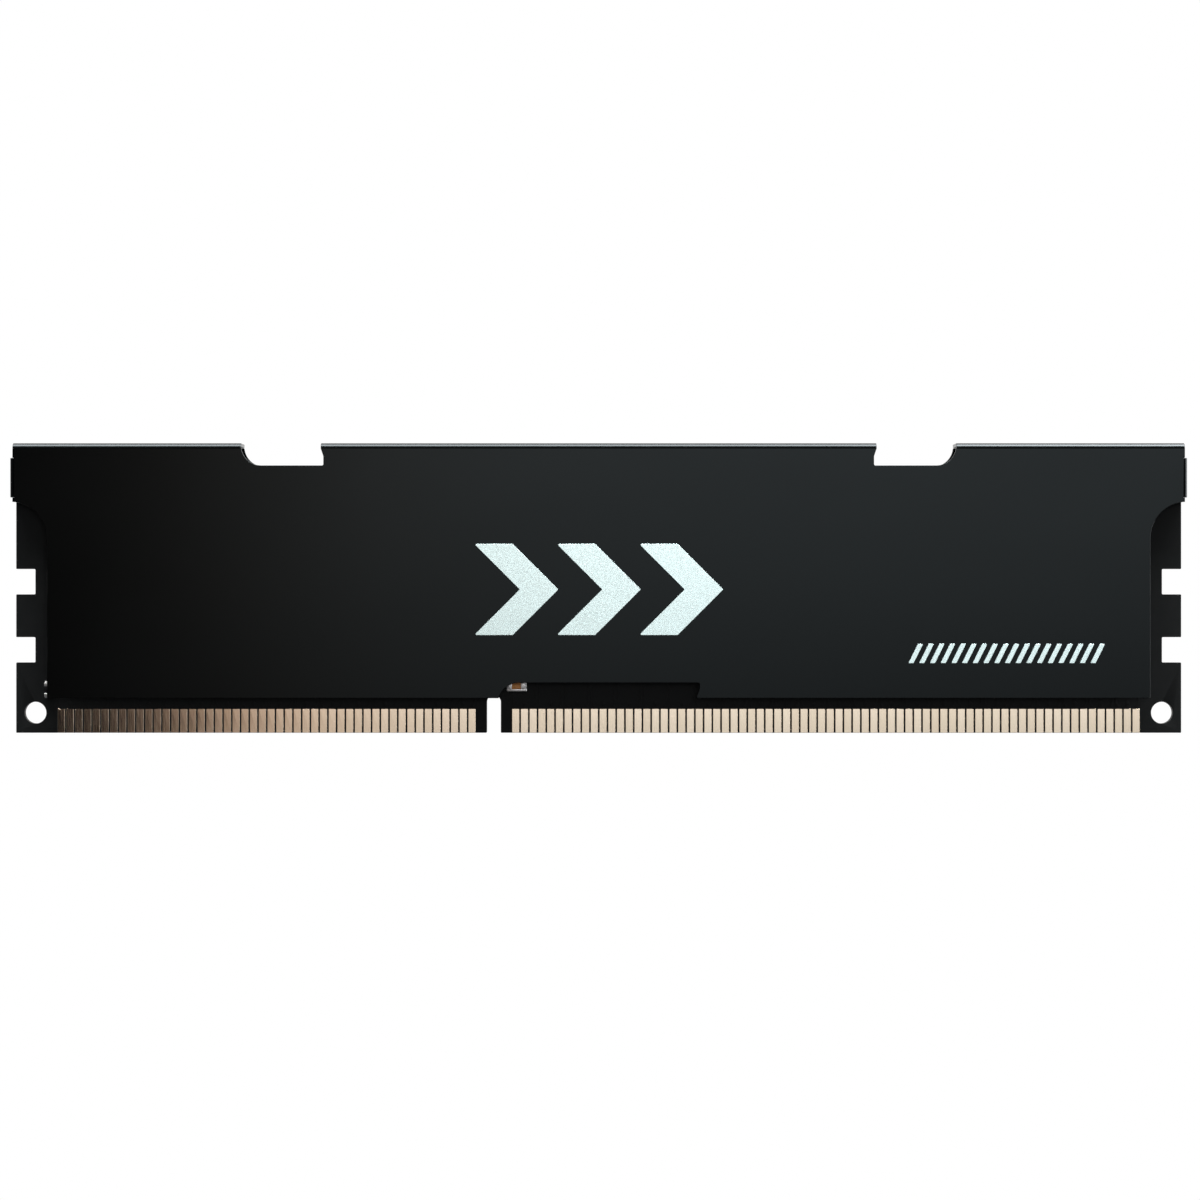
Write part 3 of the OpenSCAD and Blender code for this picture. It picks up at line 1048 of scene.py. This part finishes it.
def back_label():
    """A white label with plain printed bands and blocks."""
    low, high = box_mm("back_label")
    ink_depth = 0.012
    face = high.y - ink_depth
    paper_corner, ink_corner, ink_edge, ink_sunk = 1.0, 0.25, 0.004, 0.005
    bm = bmesh.new()
    add_plate(bm, [rectangle(low.x, low.z, high.x, high.z, paper_corner)], face, low.y, 0.01)
    finished("paper_back_label", bm, [PAPER], ["back_label"])
    margin = 2
    left, right = low.x + margin, high.x - margin
    bottom, block_top = low.z + margin, low.z + 10.6
    heading = (left, high.z - 3.2, right, high.z - margin)
    panel = (right - 24, bottom, right, block_top)
    blocks = [(left + i * 9, low.z + 7.6, left + 7 + i * 9, block_top) for i in range(4)]
    lines = [(left, bottom + i * 1.6, left + 28 - i * 6, bottom + 0.7 + i * 1.6) for i in range(3)]
    ink = bmesh.new()
    for shape in (heading, *blocks, *lines, panel):
        add_plate(ink, [rectangle(*shape, ink_corner)], high.y, face - ink_sunk, ink_edge)
    finished("label_print", ink, [INK])


# ---------- putting the module together ----------

circuit_board()
for face_name, face_side in FACE_SIDES.items():
    for row_name, row_count in ROWS.items():
        contacts(face_name, face_side, row_name, row_count)
    board_tracks(face_name, face_side)
    for number in range(1, CHIPS_PER_FACE + 1):
        memory_package(f"dram_{face_name}_{number}")
    solder_balls(face_name, face_side)
    chip_capacitors(face_name, face_side)
    resistor_arrays(face_name, face_side)
    thermal_pad(face_name)
termination_arrays()
bulk_capacitors()
end_resistor()
serial_eeprom()
heat_spreader_front()
heat_spreader_back()
front_emblem()
front_hatching()
back_label()


# ---------- stage ----------


def floor():
    """A pale disc well below the module, fading out towards its rim.

    It throws no light back at the module and isn't mirrored in it.
    """
    radius, drop = 1.2, 0.25
    fade_from, fade_to = radius * 0.5, radius * 0.98
    bpy.ops.mesh.primitive_circle_add(
        vertices=96, radius=radius, fill_type="NGON", location=(0, 0, -drop)
    )
    disc_object = bpy.context.active_object
    disc_object.name = "floor"
    disc_object.visible_diffuse = False
    disc_object.visible_glossy = False
    s = Shader("floor_paint", (0.86, 0.86, 0.86), 0.7)
    distance = s.node("ShaderNodeVectorMath", {0: s.place}, operation="LENGTH").outputs["Value"]
    s.feed("Alpha", s.mapped(distance, 1, 0, fade_from, fade_to))
    disc_object.data.materials.append(s.material)


def area_light(name, place, turn, width, height, radiance):
    """A soft rectangular lamp that the camera doesn't see.

    It shines down until it is turned, in degrees.
    """
    lamp = bpy.data.lights.new(name, "AREA")
    lamp.shape = "RECTANGLE"
    lamp.size, lamp.size_y = width, height
    lamp.energy = radiance * pi * width * height
    obj = bpy.data.objects.new(name, lamp)
    bpy.context.scene.collection.objects.link(obj)
    obj.location = place
    obj.rotation_euler = [radians(t) for t in turn]
    obj.visible_camera = False


SOFTBOX_DISTANCE = 0.9
SOFTBOX_BOTTOM, SOFTBOX_TOP = -0.085, 0.38
SOFTBOX_FULL_FROM, SOFTBOX_FULL_TO = 0.085, 0.26  # it glows fully between these heights
SOFTBOX_GLOW = 2.3
# how bright the softbox is from its left side to its right one, as (x, colour)
SOFTBOX_ACROSS = [
    (-0.22, (0.0, 0.0, 0.0)),
    (-0.17, (0.012, 0.01, 0.01)),
    (-0.15, (0.07, 0.05, 0.045)),
    (-0.135, (0.26, 0.19, 0.15)),
    (-0.12, (0.58, 0.45, 0.38)),
    (-0.105, (0.79, 0.67, 0.6)),
    (-0.08, (0.9, 0.83, 0.79)),
    (-0.04, (0.97, 0.95, 0.94)),
    (0.03, (1.0, 1.0, 1.0)),
    (0.1, (1.0, 1.0, 1.0)),
    (0.38, (0.94, 0.94, 0.95)),
]
SOFTBOX_LEFT, SOFTBOX_RIGHT = SOFTBOX_ACROSS[0][0], SOFTBOX_ACROSS[-1][0]


def softbox():
    """A glowing card behind the camera. It fades out to its left, where it is warmer, and below."""
    width, height = SOFTBOX_RIGHT - SOFTBOX_LEFT, SOFTBOX_TOP - SOFTBOX_BOTTOM
    middle_x = (SOFTBOX_LEFT + SOFTBOX_RIGHT) / 2
    middle_z = (SOFTBOX_BOTTOM + SOFTBOX_TOP) / 2
    middle = (middle_x, -SOFTBOX_DISTANCE, middle_z)
    bpy.ops.mesh.primitive_plane_add(size=1, location=middle, rotation=(radians(90), 0, 0))
    card = bpy.context.active_object
    card.name = "softbox"
    card.scale = (width, height, 1)
    card.visible_camera = False
    s = Shader("softbox_glow", (0, 0, 0), 1, specular=0)
    position = s.node("ShaderNodeNewGeometry").outputs["Position"]
    place = s.node("ShaderNodeSeparateXYZ", {"Vector": position})
    x, z = place.outputs["X"], place.outputs["Z"]
    across = s.node("ShaderNodeValToRGB", {"Fac": s.mapped(x, 0, 1, SOFTBOX_LEFT, SOFTBOX_RIGHT)})
    ramp = across.color_ramp
    first, *between, last = SOFTBOX_ACROSS
    ramp.elements[0].color = (*first[1], 1)
    ramp.elements[1].color = (*last[1], 1)
    for edge, color in between:
        ramp.elements.new((edge - SOFTBOX_LEFT) / width).color = (*color, 1)
    s.feed("Emission Color", across.outputs["Color"])
    rise = s.mapped(z, 0, SOFTBOX_GLOW, SOFTBOX_BOTTOM, SOFTBOX_FULL_FROM)
    fall = s.mapped(z, 1, 0, SOFTBOX_FULL_TO, SOFTBOX_TOP)
    power = s.node("ShaderNodeMath", {0: rise, 1: fall}, operation="MULTIPLY")
    s.feed("Emission Strength", power.outputs["Value"])
    card.data.materials.append(s.material)


def world():
    """White behind the module, dim at its sides and dark in front of it.

    The camera sees only white.
    """
    # steps in its glow along Y: where each starts and ends, and the glow it adds there
    steps = [(0.1, 0.6, 0, 0.94), (-0.92, -0.6, 0.01, 0.2)]
    scene_world = bpy.data.worlds.new("studio")
    bpy.context.scene.world = scene_world
    scene_world.use_nodes = True
    nodes, links = scene_world.node_tree.nodes, scene_world.node_tree.links
    nodes.clear()
    direction = nodes.new("ShaderNodeTexCoord")
    split = nodes.new("ShaderNodeSeparateXYZ")
    links.new(direction.outputs["Generated"], split.inputs[0])
    strength = nodes.new("ShaderNodeMath")
    strength.operation = "ADD"
    for socket, (start, end, low, high) in enumerate(steps):
        part = nodes.new("ShaderNodeMapRange")
        part.interpolation_type = "SMOOTHSTEP"
        part.inputs["From Min"].default_value = start
        part.inputs["From Max"].default_value = end
        part.inputs["To Min"].default_value = low
        part.inputs["To Max"].default_value = high
        links.new(split.outputs["Y"], part.inputs["Value"])
        links.new(part.outputs["Result"], strength.inputs[socket])
    room = nodes.new("ShaderNodeBackground")
    links.new(strength.outputs["Value"], room.inputs["Strength"])
    white = nodes.new("ShaderNodeBackground")
    white.inputs["Color"].default_value = (1, 1, 1, 1)
    seen = nodes.new("ShaderNodeLightPath")
    mix = nodes.new("ShaderNodeMixShader")
    links.new(seen.outputs["Is Camera Ray"], mix.inputs[0])
    links.new(room.outputs["Background"], mix.inputs[1])
    links.new(white.outputs["Background"], mix.inputs[2])
    output = nodes.new("ShaderNodeOutputWorld")
    links.new(mix.outputs["Shader"], output.inputs["Surface"])


def camera():
    """A long lens, square on to the front face."""
    data = bpy.data.cameras.new("camera")
    data.lens = 119.25
    data.sensor_width = 36
    data.clip_start, data.clip_end = 0.01, 20
    obj = bpy.data.objects.new("camera", data)
    bpy.context.scene.collection.objects.link(obj)
    obj.location = (0.00015, -0.4556, 0.0152)
    obj.rotation_euler = (radians(90), 0, 0)
    bpy.context.scene.camera = obj


floor()
softbox()
area_light("top_light", (0, -0.025, 0.6), (0, 0, 0), 0.8, 0.36, 20)
area_light("top_right_light", (0.43, -0.025, 0.59), (0, 0, 0), 0.7, 0.36, 13)
area_light("right_light", (0.6, 0.1, 0.05), (0, 90, 0), 0.5, 0.34, 7)
world()
camera()
bpy.context.scene.view_settings.view_transform = "Standard"
